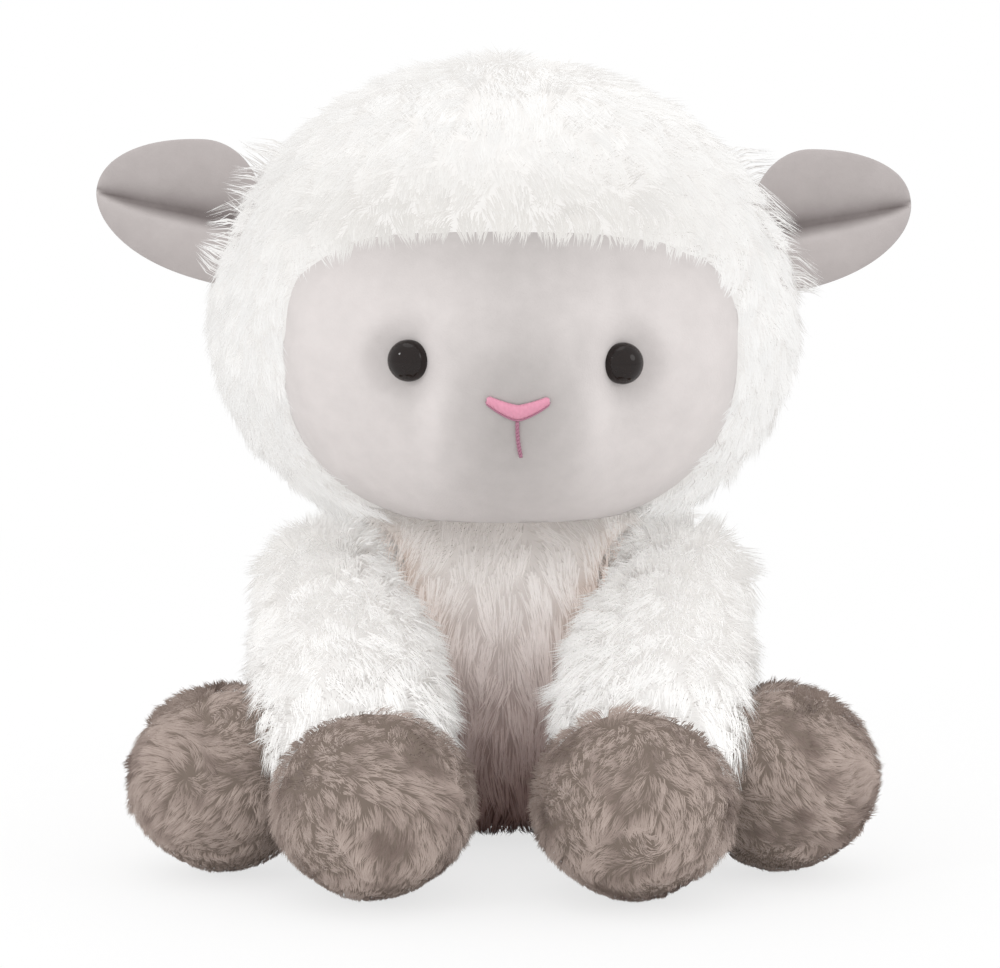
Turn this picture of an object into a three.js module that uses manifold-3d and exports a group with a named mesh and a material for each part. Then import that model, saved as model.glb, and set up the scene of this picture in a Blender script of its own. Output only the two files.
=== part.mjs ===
// A sitting plush sheep with a long-pile white coat, a velour face and ears, and short-pile ball feet.
// Lengths are millimetres and turns are degrees. +Z is up and the sheep faces -Y, so its own left is +X.
// The origin is on the floor under the middle of the body, which faces straight ahead.
import * as THREE from "three";
import { mergeVertices } from "three/addons/utils/BufferGeometryUtils.js";
import Module from "manifold-3d";

// Fabrics: each cover is as thick as its backing and its pile together.
const clearance = 0.3; // between pieces that touch
const coatThickness = 6; // long white pile, pressed lightly
const footThickness = 3.5; // short taupe pile
const velourThickness = 2; // face
const floorCut = 0.5; // depth of the flat that a soft form gets where it stands
const overrun = 300; // how far a cutting form reaches past what it cuts

// Body: a blunt pear, open at the neck and filled over a bag of pellets.
const bodyHalfWidth = 69;
const bodyHalfDepth = 55;
const bodyHeight = 124; // before the neck seat trims it
const bodyTaperShare = 0.1; // how much narrower the top is than the middle
const bodyBluntShare = 0.7;
const seatBluntShare = 0.52; // the underside is flattened by sitting
const neckOpeningRadius = 30;
const beanBagHalfWidth = 44;
const beanBagHalfDepth = 36;
const beanBagHeight = 34;

// Neck seat: the low dome on which the head is sewn and turns, round about the neck's upright line.
const neckY = -14;
const neckSeamZ = 107.3;
const neckSeatRise = 9.3;
const neckSeatRadius = 50;
const neckTopZ = neckSeamZ + 2 * neckSeatRise;

// Head: an egg wider than it is deep, with a broad snout swelling between two eye dimples.
const headHalfWidth = 93;
const headHalfDepth = 74;
const headRise = 85; // from the widest level up to the crown
const headDrop = 72; // from the widest level down to the chin, before the neck seat trims it
const headCentreY = -20;
const headCentreZ = 165;
const headTurn = 3; // the face looks a little towards the sheep's left
const headTilt = 1; // and its right ear is a little higher
const snoutSwell = 10.5;
const snoutZ = 145;
const snoutHalfWidth = 30;
const snoutHalfHeight = 40;
const dimpleDepth = 4.5;
const dimpleRadius = 12;

// Face panel: its outline seen from in front, flat above and round below.
const faceHalfWidth = 70.5;
const faceLevelZ = 161; // where it is widest
const faceRise = 38;
const faceDrop = 57;
const browBluntShare = 0.65; // of the upper outline: 1 is an ellipse, and a smaller share is squarer
const cheekBluntShare = 0.83; // of the lower outline

// Eyes: a domed safety eye on a stem, held by a washer behind the face.
const eyeSpacing = 64.8;
const eyeZ = 159.5;
const eyeRadius = 6;
const eyeDome = 5.2;
const eyeSplay = 14; // each eye looks this far outwards
const eyeSink = 0.8; // how far the dome's rim sits under the swell of the face
const stemReachShare = 0.85; // of the dome's height, so that the two are moulded as one
const stemRadius = 2;
const stemLength = 13;
const washerRadius = 7;
const washerThickness = 2;
const washerDepth = 5.5; // from the eye's rim back to the washer

// Nose and mouth: satin stitch standing on the velour.
const stitchHeight = 1.3;
const noseZ = 147.2;
const noseHalfWidth = 9.6;
const noseTipRise = 3.1; // height of the arms' round ends over the nose's middle
const noseArm = 1.9; // half the thickness of an arm at its end
const nosePoint = 3.9; // from the middle of the top edge down to the point
const mouthLength = 11.4;
const mouthHalfWidth = 0.65;
const mouthHook = 1.7; // how far the stitch drifts to the sheep's left at its lower end

// Ears: two velour leaves sewn edge to edge and cupped about a lengthwise fold.
const earLength = 53; // from inside the seam to the tip
const earRiseHeight = 22.5; // from the middle line to the upper edge, at the root
const earDropHeight = 23.5; // and to the lower edge
const earThickness = 6.4;
const earRootX = 87;
const earRootZ = 200.5;
const earY = -20;
const earLift = 9; // the length points this far above level
const earLean = 26; // the sewn edge leans in this far from upright
const earRootDepth = 9; // length that lies inside the seam before the head trims it
const earRootShare = 0.16; // of the length, over which it narrows again inside the seam
const earUpperCup = 8; // how far the upper edge stands in front of the fold at the root
const earLowerCup = 9.5; // and the ridge of the lower half, which lies in front
const earFoldShare = 0.1; // of the drop, from the middle line down to the fold
const earRidgeWidthShare = 0.22; // of the drop, from the fold down to the ridge
const earCupFadeShare = 0.65;
const earRange = 30;

// Each limb starts inside the ball at its joint, this share of the ball's radius behind the middle.
const limbStartShare = 0.7;

// Forelegs: they hang from a ball at the shoulder and end in a fluffy cuff over a ball foot.
const shoulderX = 51;
const shoulderY = -30;
const shoulderZ = 79.5;
const shoulderRadius = 21;
const cuffX = 45.8;
const cuffY = -100;
const cuffZ = 41;
const forelegTopHalfWidth = 20;
const forelegTopHalfDepth = 22;
const forelegCuffHalfWidth = 33.5;
const forelegCuffHalfDepth = 27;
const forelegBluntShare = 0.72;
const forefootX = 39;
const forefootY = -113.5;
const forefootRadius = 30;
const forefootCuffInset = 13; // from the foot's middle back to the cuff seam
const forelegRange = 30;
const pressGap = 2.4; // room where the hind leg presses into the foreleg

// Hind legs: short thighs from a ball at the hip, with the feet beside the forefeet.
const hipX = 56;
const hipY = -29;
const hipZ = 26;
const hipRadius = 22.5;
const thighStartHalfWidth = 20;
const thighEndHalfWidth = 23.5;
const thighBluntShare = 0.75;
const hindfootX = 86;
const hindfootY = -76.5;
const hindfootRadius = 29.3;
const hindfootCuffInset = 12;
const hindlegRange = 25;

// Tail: a small flat pad of the coat hanging behind.
const tailY = 56.5;
const tailZ = 44;
const tailLength = 34;
const tailHalfWidth = 13;
const tailHalfDepth = 7.5;
const tailHang = 62; // below level
const tailRootDepth = 9;
const tailRange = 20;

// Points round each form and rows along it.
const headFacets = { around: 36, rows: 22 };
const headInnerFacets = { around: 16, rows: 10 };
const bodyFacets = { around: 20, rows: 12 };
const bodyInnerFacets = { around: 14, rows: 9 };
const limbFacets = { around: 14, rows: 10 };
const ballFacets = { around: 14, rows: 9 };
const innerFacets = { around: 10, rows: 7 };
const earFacets = { around: 20, rows: 12 };
const neckFacets = 24;
const neckCapRows = 4;
const turnedFacets = 20;
const outlinePoints = 40;

const colours = {
  coat: "#efece8",
  face: "#c9c2c0",
  ear: "#b4aba9",
  foot: "#8d8177",
  filling: "#f3f1ec",
  pelletBag: "#d9d2c4",
  eye: "#1b1412",
  washer: "#e8e6df",
  nose: "#ec96b6",
  mouth: "#b78ba0",
};

const wasm = await Module();
wasm.setup();

const radians = THREE.MathUtils.degToRad;
const sides = { left: 1, right: -1 };

// Turns a closed geometry into a solid that can be joined and cut.
function solidOf(geometry) {
  const bare = geometry.index ? geometry.clone() : geometry;
  bare.deleteAttribute("normal");
  bare.deleteAttribute("uv");
  const merged = mergeVertices(bare);
  return new wasm.Manifold(
    new wasm.Mesh({
      numProp: 3,
      vertProperties: merged.getAttribute("position").array,
      triVerts: new Uint32Array(merged.index.array),
    }),
  );
}

function geometryOf(solid) {
  const mesh = solid.getMesh();
  const geometry = new THREE.BufferGeometry();
  geometry.setAttribute("position", new THREE.BufferAttribute(mesh.vertProperties, 3));
  geometry.setIndex(new THREE.BufferAttribute(mesh.triVerts, 1));
  geometry.computeVertexNormals();
  return geometry;
}

// Carries each point of a unit ball, whose poles are on Y, to its place in a swelling form.
function swollenForm(facets, place) {
  const ball = new THREE.SphereGeometry(1, facets.around, facets.rows);
  ball.deleteAttribute("normal");
  ball.deleteAttribute("uv");
  const geometry = mergeVertices(ball);
  const points = geometry.getAttribute("position");
  const direction = new THREE.Vector3();
  for (let i = 0; i < points.count; i++) {
    direction.fromBufferAttribute(points, i).normalize();
    points.setXYZ(i, ...place(direction).toArray());
  }
  return solidOf(geometry);
}

// A point's share along a form's length and its share of the full section there. A blunt share of 1 is an
// ellipsoid, and a smaller one has fuller ends.
function bluntShares(poleShare, bluntShare) {
  const along = Math.sign(poleShare) * Math.abs(poleShare) ** bluntShare;
  const section = Math.max(1 - poleShare * poleShare, 0) ** (bluntShare / 2);
  const ring = Math.sqrt(Math.max(1 - poleShare * poleShare, 0));
  return { along, widen: ring > 0 ? section / ring : 0 };
}

// A stuffed limb between two points, with a half width and a half depth at each end.
function limbForm(facets, limb, inset) {
  const length = limb.to.clone().sub(limb.from);
  const forward = length.clone().normalize();
  const depthWay = forward.clone().cross(limb.lateral).normalize();
  const widthWay = depthWay.clone().cross(forward).normalize();
  return swollenForm(facets, (direction) => {
    const { along, widen } = bluntShares(direction.y, limb.bluntShare);
    const share = (1 - along) / 2;
    const halfWidth = THREE.MathUtils.lerp(limb.startHalfWidth, limb.endHalfWidth, share) - inset;
    const halfDepth = THREE.MathUtils.lerp(limb.startHalfDepth, limb.endHalfDepth, share) - inset;
    const reach = share * (length.length() - 2 * inset) + inset;
    return limb.from
      .clone()
      .addScaledVector(forward, reach)
      .addScaledVector(widthWay, direction.x * widen * halfWidth)
      .addScaledVector(depthWay, direction.z * widen * halfDepth);
  });
}

// A ball whose poles lie on an axis, so that it turns about that axis as a lathed piece does.
function ball(facets, centre, radius, axis) {
  const turn = new THREE.Quaternion().setFromUnitVectors(new THREE.Vector3(0, 1, 0), axis);
  return swollenForm(facets, (direction) =>
    direction.clone().applyQuaternion(turn).multiplyScalar(radius).add(centre),
  );
}

// A ball that another turns in needs its flat faces, and not only its corners, outside the other's corners.
function socket(facets, centre, radius, axis) {
  const flats = Math.cos(Math.PI / facets.around) * Math.cos(Math.PI / facets.rows / 2);
  return ball(facets, centre, radius / flats, axis);
}

// The half of space on the far side of a plane, as a box whose near face lies in the plane.
function halfSpace(point, outward) {
  const box = new THREE.BoxGeometry(overrun, overrun, overrun);
  box.translate(0, 0, overrun / 2);
  const turn = new THREE.Quaternion().setFromUnitVectors(new THREE.Vector3(0, 0, 1), outward);
  box.applyQuaternion(turn);
  box.translate(...point.toArray());
  return solidOf(box);
}

function turnedAbout(solid, pivot, axis, degrees) {
  const turn = new THREE.Matrix4()
    .makeTranslation(pivot)
    .multiply(new THREE.Matrix4().makeRotationAxis(axis, radians(degrees)))
    .multiply(new THREE.Matrix4().makeTranslation(pivot.clone().negate()));
  return solid.transform(turn.elements);
}

// The room that a solid takes as it turns from one angle to another.
function sweptAbout(solid, pivot, axis, fromDegrees, toDegrees, steps) {
  let room = turnedAbout(solid, pivot, axis, fromDegrees);
  for (let step = 1; step <= steps; step++) {
    const degrees = THREE.MathUtils.lerp(fromDegrees, toDegrees, step / steps);
    room = room.add(turnedAbout(solid, pivot, axis, degrees));
  }
  return room;
}

const mirrorX = new THREE.Matrix4().makeScale(-1, 1, 1);

function onSide(solid, side) {
  return side > 0 ? solid : solid.transform(mirrorX.elements);
}

const up = new THREE.Vector3(0, 0, 1);
const sideways = new THREE.Vector3(1, 0, 0);
const floor = halfSpace(new THREE.Vector3(), up.clone().negate());

// Everything above the neck seat, raised by a gap. The seat is a cap of a ball on a level ring, so it is
// round about the neck's upright line.
function aboveNeck(raise) {
  const seam = neckSeamZ + raise;
  const capRadius = (neckSeatRadius ** 2 + neckSeatRise ** 2) / (2 * neckSeatRise);
  const capTurn = Math.asin(neckSeatRadius / capRadius);
  const profile = [];
  for (let step = 0; step <= neckCapRows; step++) {
    const turn = (capTurn * step) / neckCapRows;
    const height = seam + neckSeatRise - capRadius * (1 - Math.cos(turn));
    profile.push(new THREE.Vector2(capRadius * Math.sin(turn), height));
  }
  profile.push(
    new THREE.Vector2(overrun, seam),
    new THREE.Vector2(overrun, seam + overrun),
    new THREE.Vector2(0, seam + overrun),
  );
  const lathe = new THREE.LatheGeometry(profile, neckFacets);
  lathe.rotateX(Math.PI / 2);
  lathe.translate(0, neckY, 0);
  return solidOf(lathe);
}

function uprightCylinder(radius, fromZ, toZ, y) {
  const cylinder = new THREE.CylinderGeometry(radius, radius, toZ - fromZ, neckFacets);
  cylinder.rotateX(Math.PI / 2);
  cylinder.translate(0, y, (fromZ + toZ) / 2);
  return solidOf(cylinder);
}

// Body
function bodyForm(facets, inset) {
  const halfHeight = (bodyHeight + floorCut) / 2;
  const centreZ = halfHeight - floorCut;
  return swollenForm(facets, (direction) => {
    const { along, widen } = bluntShares(direction.y, direction.y < 0 ? seatBluntShare : bodyBluntShare);
    const taper = (1 - bodyTaperShare * along) * widen;
    return new THREE.Vector3(
      direction.x * taper * (bodyHalfWidth - inset),
      -direction.z * taper * (bodyHalfDepth - inset),
      centreZ + along * (halfHeight - inset),
    );
  });
}

// Head, built looking straight ahead and then set at its turn and tilt.
const headPose = new THREE.Matrix4()
  .makeTranslation(0, neckY, headCentreZ)
  .multiply(new THREE.Matrix4().makeRotationZ(radians(headTurn)))
  .multiply(new THREE.Matrix4().makeRotationY(radians(headTilt)))
  .multiply(new THREE.Matrix4().makeTranslation(0, -neckY, -headCentreZ));

function onHead(solid) {
  return solid.transform(headPose.elements);
}

function headRelief(x, z) {
  const snout = snoutSwell * Math.exp(-((x / snoutHalfWidth) ** 4) - ((z - snoutZ) / snoutHalfHeight) ** 2);
  const fromEye = Math.hypot(Math.abs(x) - eyeSpacing / 2, z - eyeZ);
  return snout - dimpleDepth * Math.exp(-((fromEye / dimpleRadius) ** 2));
}

function headForm(facets, inset) {
  return swollenForm(facets, (direction) => {
    const x = direction.x * (headHalfWidth - inset);
    const rise = direction.z > 0 ? headRise : headDrop;
    const z = headCentreZ + direction.z * (rise - inset);
    const front = direction.y < 0 ? headRelief(x, z) * Math.min(1, -2 * direction.y) : 0;
    return new THREE.Vector3(x, headCentreY + direction.y * (headHalfDepth - inset) - front, z);
  });
}

// Seen from in front, a closed outline becomes a prism through the front of the head.
function frontPrism(shape) {
  const prism = new THREE.ExtrudeGeometry(shape, { depth: overrun, bevelEnabled: false, curveSegments: 6 });
  prism.rotateX(Math.PI / 2);
  prism.translate(0, headCentreY, 0);
  return solidOf(prism);
}

function faceShape(grow) {
  const shape = new THREE.Shape();
  for (let i = 0; i < outlinePoints; i++) {
    const turn = (2 * Math.PI * i) / outlinePoints;
    const isBrow = Math.sin(turn) > 0;
    const power = isBrow ? browBluntShare : cheekBluntShare;
    const halfHeight = (isBrow ? faceRise : faceDrop) + grow;
    const x = (faceHalfWidth + grow) * Math.sign(Math.cos(turn)) * Math.abs(Math.cos(turn)) ** power;
    const z = faceLevelZ + halfHeight * Math.sign(Math.sin(turn)) * Math.abs(Math.sin(turn)) ** power;
    if (i === 0) shape.moveTo(x, z);
    else shape.lineTo(x, z);
  }
  shape.closePath();
  return shape;
}

function noseShape() {
  const endZ = noseZ + noseTipRise;
  const pointZ = noseZ - nosePoint;
  const shape = new THREE.Shape();
  shape.moveTo(0, noseZ);
  shape.quadraticCurveTo(noseHalfWidth / 2, noseZ, noseHalfWidth - noseArm, endZ);
  shape.absarc(noseHalfWidth - noseArm, endZ - noseArm, noseArm, Math.PI / 2, -Math.PI / 3, true);
  shape.quadraticCurveTo(noseHalfWidth / 3, noseZ - noseArm, 0, pointZ);
  shape.quadraticCurveTo(
    -noseHalfWidth / 3,
    noseZ - noseArm,
    -noseHalfWidth + noseArm - noseArm * Math.cos(Math.PI / 3),
    endZ - noseArm - noseArm * Math.sin(Math.PI / 3),
  );
  shape.absarc(-noseHalfWidth + noseArm, endZ - noseArm, noseArm, (4 * Math.PI) / 3, Math.PI / 2, true);
  shape.quadraticCurveTo(-noseHalfWidth / 2, noseZ, 0, noseZ);
  return shape;
}

function mouthShape() {
  const topZ = noseZ - nosePoint - clearance - mouthHalfWidth;
  const lowZ = topZ - mouthLength;
  const middleZ = (topZ + lowZ) / 2;
  const shape = new THREE.Shape();
  shape.absarc(0, topZ, mouthHalfWidth, 0, Math.PI, false);
  shape.quadraticCurveTo(-mouthHalfWidth, middleZ, mouthHook - mouthHalfWidth, lowZ);
  shape.absarc(mouthHook, lowZ, mouthHalfWidth, Math.PI, 2 * Math.PI, false);
  shape.quadraticCurveTo(mouthHalfWidth, middleZ, mouthHalfWidth, topZ);
  return shape;
}

// Places a piece turned about Y, such as an eye's dome, at an eye's rim and facing out of it.
function atEye(geometry, side) {
  const x = (side * eyeSpacing) / 2;
  const reach = 1 - (x / headHalfWidth) ** 2 - ((eyeZ - headCentreZ) / headDrop) ** 2;
  const surfaceY = headCentreY - headHalfDepth * Math.sqrt(reach) - headRelief(x, eyeZ);
  geometry.rotateX(Math.PI);
  geometry.rotateZ(radians(side * eyeSplay));
  geometry.translate(x, surfaceY + eyeSink, eyeZ);
  return onHead(solidOf(geometry));
}

function lathed(points) {
  const profile = points.map(([radius, height]) => new THREE.Vector2(radius, height));
  return new THREE.LatheGeometry(profile, turnedFacets);
}

// An eye's dome rises along its axis from the rim, and its stem runs back from it.
function eyeDomeForm() {
  const profile = [[0, -eyeSink]];
  profile.push([eyeRadius, -eyeSink]);
  for (let step = 0; step <= turnedFacets / 4; step++) {
    const turn = ((Math.PI / 2) * step) / (turnedFacets / 4);
    profile.push([step === turnedFacets / 4 ? 0 : eyeRadius * Math.cos(turn), eyeDome * Math.sin(turn)]);
  }
  return lathed(profile);
}

function stemForm(radius, toHeight) {
  return lathed([[0, -stemLength - (radius - stemRadius)], [radius, -stemLength - (radius - stemRadius)],
    [radius, toHeight], [0, toHeight]]);
}

function washerForm() {
  const bore = stemRadius + clearance;
  const front = -washerDepth;
  const back = front - washerThickness;
  return lathed([[bore, back], [washerRadius, back], [washerRadius, front], [bore, front], [bore, back]]);
}

function washerRoom() {
  const radius = washerRadius + clearance;
  const back = -washerDepth - washerThickness - clearance;
  return lathed([[0, back], [radius, back], [radius, 0], [0, 0]]);
}

// Ears. A leaf is half a lens: flat at the seam between the two leaves and swollen outside.
const earAxis = new THREE.Vector3(-Math.sin(radians(earLean)), 0, Math.cos(radians(earLean)));
const earRoot = new THREE.Vector3(earRootX, earY, earRootZ);

// Half the ear's height at a share of its length: the upper edge arches and the lower one runs straighter.
function earHalfHeight(share, isUpper) {
  const root = Math.sqrt(1 - (1 - Math.min(1, share / earRootShare)) ** 2);
  const upper = earRiseHeight * Math.max(1 - share ** 2.6, 0) ** 0.5;
  const lower = earDropHeight * Math.max(1 - share ** 2.6, 0) ** 0.55;
  return root * (isUpper ? upper : lower);
}

// How far the leaf stands in front of its fold, at a level between -1 and 1 of its height.
function earFold(level) {
  const above = level + earFoldShare;
  if (above > 0) return earUpperCup * above ** 1.3;
  const ridge = Math.min(1, -above / earRidgeWidthShare);
  return earLowerCup * ridge * ridge * (3 - 2 * ridge) * (1 + above / 2);
}

function earForm(facing) {
  return swollenForm(earFacets, (direction) => {
    const share = (1 - direction.y) / 2;
    const ring = Math.sqrt(Math.max(1 - direction.y * direction.y, 0));
    const level = ring > 0 ? THREE.MathUtils.clamp(-direction.x / ring, -1, 1) : 0;
    const height = level * earHalfHeight(share, level > 0);
    const seam = clearance / 2;
    const swell = facing * Math.max(seam, (facing * direction.z * earThickness) / 2);
    const fold = earFold(level) * (1 - earCupFadeShare * share) * Math.min(1, 2 * ring);
    return new THREE.Vector3(earLength * share - earRootDepth, swell - fold, height);
  });
}

function earAt(solid) {
  const place = new THREE.Matrix4()
    .makeTranslation(earRoot)
    .multiply(new THREE.Matrix4().makeRotationY(-radians(earLift)));
  return solid.transform(place.elements);
}

// Legs
const shoulder = new THREE.Vector3(shoulderX, shoulderY, shoulderZ);
const cuff = new THREE.Vector3(cuffX, cuffY, cuffZ);
const forefoot = new THREE.Vector3(forefootX, forefootY, forefootRadius - floorCut);
const hip = new THREE.Vector3(hipX, hipY, hipZ);
const hindfoot = new THREE.Vector3(hindfootX, hindfootY, hindfootRadius - floorCut);

// Where the cuff seam's plane lies between a foot and the joint above it.
function cuffPlane(foot, joint, inset) {
  const back = joint.clone().sub(foot).normalize();
  return { point: foot.clone().addScaledVector(back, inset), back, forward: back.clone().negate() };
}

const foreCuff = cuffPlane(forefoot, shoulder, forefootCuffInset);
const hindCuff = cuffPlane(hindfoot, hip, hindfootCuffInset);

const forelegShape = {
  from: shoulder.clone().addScaledVector(foreCuff.back, shoulderRadius * limbStartShare),
  to: cuff.clone().addScaledVector(foreCuff.forward, forefootCuffInset),
  lateral: sideways,
  startHalfWidth: forelegTopHalfWidth,
  startHalfDepth: forelegTopHalfDepth,
  endHalfWidth: forelegCuffHalfWidth,
  endHalfDepth: forelegCuffHalfDepth,
  bluntShare: forelegBluntShare,
};

const thighShape = {
  from: hip.clone().addScaledVector(hindCuff.back, hipRadius * limbStartShare),
  to: hindfoot.clone(),
  lateral: up.clone().cross(hindCuff.forward).normalize(),
  startHalfWidth: thighStartHalfWidth,
  startHalfDepth: thighStartHalfWidth,
  endHalfWidth: thighEndHalfWidth,
  endHalfDepth: thighEndHalfWidth,
  bluntShare: thighBluntShare,
};

const foreleg = {
  joint: shoulder,
  radius: shoulderRadius,
  axis: sideways,
  shape: forelegShape,
  seam: foreCuff,
  foot: forefoot,
  footRadius: forefootRadius,
};

const hindleg = {
  joint: hip,
  radius: hipRadius,
  axis: up,
  shape: thighShape,
  seam: hindCuff,
  foot: hindfoot,
  footRadius: hindfootRadius,
};

// A leg down to its ankle: the ball that sits in the body's socket, and the limb, trimmed by what is beside it.
function legForm(facets, leg, inset, beside) {
  const limb = limbForm(facets, leg.shape, inset);
  const joint = ball(facets, leg.joint, leg.radius - inset, leg.axis);
  return beside ? joint.add(limb.subtract(beside)) : joint.add(limb);
}

function footForm(facets, leg, inset) {
  return ball(facets, leg.foot, leg.footRadius - inset, up);
}

// What lies beyond a leg's cuff seam, and what lies behind it, each kept a gap away from the seam.
function beyondCuff(leg, gap) {
  return halfSpace(leg.seam.point.clone().addScaledVector(leg.seam.back, gap), leg.seam.forward);
}

function behindCuff(leg, gap) {
  return halfSpace(leg.seam.point.clone().addScaledVector(leg.seam.forward, gap), leg.seam.back);
}

// Each hind leg is trimmed so that it clears the body as it splays.
function besideHindleg(gap) {
  return sweptAbout(bodyForm(bodyFacets, -gap), hip, up, 0, -hindlegRange, 1);
}

// Each foreleg is trimmed by the hind leg that presses into it, and so that it clears the body and the head
// as it is raised.
function besideForeleg(gap) {
  const pressed = gap + pressGap - clearance;
  const behind = legForm(innerFacets, hindleg, -pressed).add(footForm(innerFacets, hindleg, -pressed));
  const around = bodyForm(bodyFacets, -gap).add(aboveNeck(clearance - gap));
  return sweptAbout(around, shoulder, sideways, 0, forelegRange, 2).add(behind);
}

const meshes = new THREE.Group();

function addMesh(name, solid, colour, roughness) {
  const material = new THREE.MeshStandardMaterial({ color: colour, roughness, metalness: 0 });
  const mesh = new THREE.Mesh(geometryOf(solid), material);
  mesh.name = name;
  meshes.add(mesh);
}

function addBody() {
  const sockets = (facets, gap) =>
    Object.values(sides)
      .flatMap((side) =>
        [foreleg, hindleg].map((leg) =>
          onSide(socket(facets, leg.joint, leg.radius + gap, leg.axis), side),
        ),
      )
      .reduce((all, one) => all.add(one));
  const outer = bodyForm(bodyFacets, 0)
    .subtract(aboveNeck(0))
    .subtract(floor)
    .subtract(sockets(ballFacets, clearance));
  const lining = (gap) =>
    bodyForm(bodyInnerFacets, coatThickness + gap)
      .subtract(aboveNeck(-coatThickness - gap))
      .add(uprightCylinder(neckOpeningRadius - gap, neckSeamZ - 2 * coatThickness, neckTopZ, neckY))
      .subtract(sockets(innerFacets, coatThickness + gap));
  addMesh("body_cover", outer.subtract(lining(0)), colours.coat, 1);
  const beanBag = (grow) =>
    swollenForm(innerFacets, (direction) => {
      const { along, widen } = bluntShares(direction.y, bodyBluntShare);
      return new THREE.Vector3(
        direction.x * widen * (beanBagHalfWidth + grow),
        -direction.z * widen * (beanBagHalfDepth + grow),
        coatThickness + ((1 + along) * beanBagHeight) / 2 + along * grow,
      );
    }).intersect(grow > 0 ? outer : lining(clearance));
  addMesh("bean_bag", beanBag(0), colours.pelletBag, 0.9);
  const filling = lining(clearance).subtract(aboveNeck(0)).subtract(beanBag(clearance));
  addMesh("body_stuffing", filling, colours.filling, 1);
}

function addHead() {
  const seat = aboveNeck(clearance);
  const outer = onHead(headForm(headFacets, 0)).intersect(seat);
  const hollow = onHead(headForm(headInnerFacets, coatThickness));
  const faceHollow = onHead(headForm(headFacets, velourThickness));
  const faceRoom = onHead(frontPrism(faceShape(0)));
  const hoodRoom = onHead(frontPrism(faceShape(clearance)));
  const stems = Object.values(sides)
    .map((side) => atEye(stemForm(stemRadius + clearance, eyeDome), side))
    .reduce((all, stem) => all.add(stem));
  addMesh("hood_cover", outer.subtract(hollow).subtract(hoodRoom), colours.coat, 1);
  addMesh("face_panel", outer.subtract(faceHollow).intersect(faceRoom).subtract(stems), colours.face, 0.95);

  let filling = onHead(headForm(headInnerFacets, coatThickness + clearance)).intersect(aboveNeck(2 * clearance));
  const skin = onHead(headForm(headFacets, -clearance));
  for (const [name, side] of Object.entries(sides)) {
    const dome = atEye(eyeDomeForm(), side).subtract(skin);
    addMesh("eye_" + name, dome.add(atEye(stemForm(stemRadius, eyeDome * stemReachShare), side)), colours.eye, 0.08);
    addMesh("eye_washer_" + name, atEye(washerForm(), side), colours.washer, 0.5);
    filling = filling
      .subtract(atEye(washerRoom(), side))
      .subtract(atEye(stemForm(stemRadius + clearance, 0), side));
  }
  addMesh("head_stuffing", filling, colours.filling, 1);

  const thread = onHead(headForm(headFacets, -stitchHeight)).subtract(skin);
  addMesh("nose_embroidery", thread.intersect(onHead(frontPrism(noseShape()))), colours.nose, 0.45);
  addMesh("mouth_embroidery", thread.intersect(onHead(frontPrism(mouthShape()))), colours.mouth, 0.5);
}

// Each ear folds forwards and back about its sewn edge, so the head's form is turned about that edge to
// trim it.
function addEars() {
  const room = sweptAbout(headForm(headFacets, -clearance), earRoot, earAxis, -earRange, earRange, 2);
  const leaves = { front: -1, back: 1 };
  for (const [name, side] of Object.entries(sides)) {
    for (const [leaf, facing] of Object.entries(leaves)) {
      const form = earAt(earForm(facing)).subtract(room);
      addMesh("ear_" + leaf + "_" + name, onHead(onSide(form, side)), colours.ear, 0.95);
    }
  }
}

// A leg's cover and its foot's cover meet at the cuff seam, where both are open, and one filling runs
// through them.
function addLeg(leg, beside, legName, footName) {
  const fillingInset = coatThickness + clearance;
  const legBody = legForm(limbFacets, leg, 0, beside(clearance)).subtract(beyondCuff(leg, 0)).subtract(floor);
  const legHollow = legForm(innerFacets, leg, coatThickness, beside(coatThickness));
  const legFilling = legForm(innerFacets, leg, fillingInset, beside(fillingInset + clearance));
  const footBody = footForm(ballFacets, leg, 0).subtract(floor).subtract(behindCuff(leg, clearance));
  const footHollow = footForm(innerFacets, leg, footThickness);
  const footFilling = footForm(innerFacets, leg, footThickness + clearance);
  const filling = legFilling
    .subtract(beyondCuff(leg, 0))
    .add(footFilling.subtract(behindCuff(leg, clearance)))
    .add(legFilling.intersect(footFilling));
  for (const [name, side] of Object.entries(sides)) {
    addMesh(legName + "_cover_" + name, onSide(legBody.subtract(legHollow), side), colours.coat, 1);
    addMesh(footName + "_cover_" + name, onSide(footBody.subtract(footHollow), side), colours.foot, 1);
    addMesh(legName + "_stuffing_" + name, onSide(filling, side), colours.filling, 1);
  }
}

// The tail wags about an upright line at its sewn end.
function addTail() {
  const root = new THREE.Vector3(0, tailY, tailZ);
  const hang = new THREE.Vector3(0, Math.cos(radians(tailHang)), -Math.sin(radians(tailHang)));
  const pad = limbForm(
    limbFacets,
    {
      from: root.clone().addScaledVector(hang, -tailRootDepth),
      to: root.clone().addScaledVector(hang, tailLength),
      lateral: sideways,
      startHalfWidth: tailHalfWidth,
      startHalfDepth: tailHalfDepth,
      endHalfWidth: tailHalfWidth,
      endHalfDepth: tailHalfDepth,
      bluntShare: 1,
    },
    0,
  );
  const room = sweptAbout(bodyForm(bodyFacets, -clearance), root, up, -tailRange, tailRange, 2);
  addMesh("tail_cover", pad.subtract(room), colours.coat, 1);
}

addBody();
addHead();
addEars();
addLeg(foreleg, besideForeleg, "foreleg", "forefoot");
addLeg(hindleg, besideHindleg, "hindleg", "hindfoot");
addTail();

export default meshes;
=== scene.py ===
"""A sitting plush sheep: long white pile on the hood, body, legs and tail, grey velour face and ears, taupe
ball feet, domed eyes and a stitched pink nose. Lengths are metres, +Z is up and the sheep faces -Y."""

import math

import bmesh
import bpy
import numpy as np
from mathutils import Matrix, Vector, noise
from mathutils.bvhtree import BVHTree
from mathutils.kdtree import KDTree


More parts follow.
